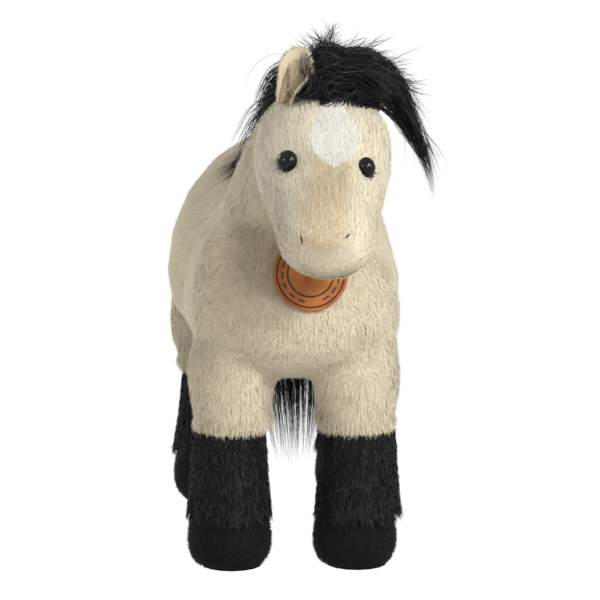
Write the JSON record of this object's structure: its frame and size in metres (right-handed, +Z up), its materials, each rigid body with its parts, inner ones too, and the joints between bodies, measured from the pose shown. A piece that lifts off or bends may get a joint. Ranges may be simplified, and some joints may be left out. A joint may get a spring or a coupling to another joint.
{
  "type": "plush horse",
  "caption": "Standing stuffed toy horse with sewn plush covers, black stockings and hooves, a long black mane, forelock and tail, glossy eyes and a round leather tag under its chin.",
  "frame": {"origin": "on the floor under the middle of the horse's whole box", "axes": "+Z up, -Y the way the horse faces, +X its left side"},
  "size_m": [0.1601, 0.3639, 0.3209],
  "materials": {
    "buckskin_plush": "short pile",
    "tan_plush": "short pile",
    "white_plush": "short pile",
    "black_pile": "long pile",
    "black_velour": "velour",
    "black_hair": "long synthetic hair",
    "stuffing": "fibre fill",
    "eye": "polished",
    "washer": "moulded",
    "thread": "thread",
    "leather": "matte"
  },
  "bodies": {
    "horse": {"torso_cover": "buckskin_plush", "torso_filling": "stuffing", "neck_cover": "buckskin_plush", "neck_filling": "stuffing", "head_cover": "buckskin_plush", "head_filling": "stuffing", "forehead_star": "white_plush", "left_eye": "eye", "right_eye": "eye", "left_eye_washer": "washer", "right_eye_washer": "washer", "left_nostril_stitch": "thread", "right_nostril_stitch": "thread", "left_ear": "buckskin_plush", "right_ear": "buckskin_plush", "left_ear_lining": "tan_plush", "right_ear_lining": "tan_plush", "mane": "black_hair", "forelock": "black_hair", "front_left_leg_cover": "buckskin_plush", "front_left_leg_filling": "stuffing", "front_left_stocking": "black_pile", "front_left_hoof": "black_velour", "front_left_sole": "black_velour", "front_right_leg_cover": "buckskin_plush", "front_right_leg_filling": "stuffing", "front_right_stocking": "black_pile", "front_right_hoof": "black_velour", "front_right_sole": "black_velour", "hind_left_leg_cover": "buckskin_plush", "hind_left_leg_filling": "stuffing", "hind_left_stocking": "black_pile", "hind_left_hoof": "black_velour", "hind_left_sole": "black_velour", "hind_right_leg_cover": "buckskin_plush", "hind_right_leg_filling": "stuffing", "hind_right_stocking": "black_pile", "hind_right_hoof": "black_velour", "hind_right_sole": "black_velour", "tag_loop": "thread"},
    "tail_root": {"tail_stub": "black_hair"},
    "tail": {"tail": "black_hair"},
    "tag": {"tag_disc": "leather"}
  },
  "joints": [
    {"name": "tail_swing", "type": "hinge", "parent": "horse", "child": "tail_root", "pos_m": [-0.0075, 0.1535, 0.194], "axis": [0, 1, 0], "range_deg": [-35, 35]},
    {"name": "tail_lift", "type": "hinge", "parent": "tail_root", "child": "tail", "pos_m": [-0.0075, 0.1535, 0.194], "axis": [1, 0, 0], "range_deg": [0, 80]},
    {"name": "tag_swing", "type": "hinge", "parent": "horse", "child": "tag", "pos_m": [0.001, -0.10065, 0.2038], "axis": [-1, 0, 0], "range_deg": [0, 30]}
  ]
}
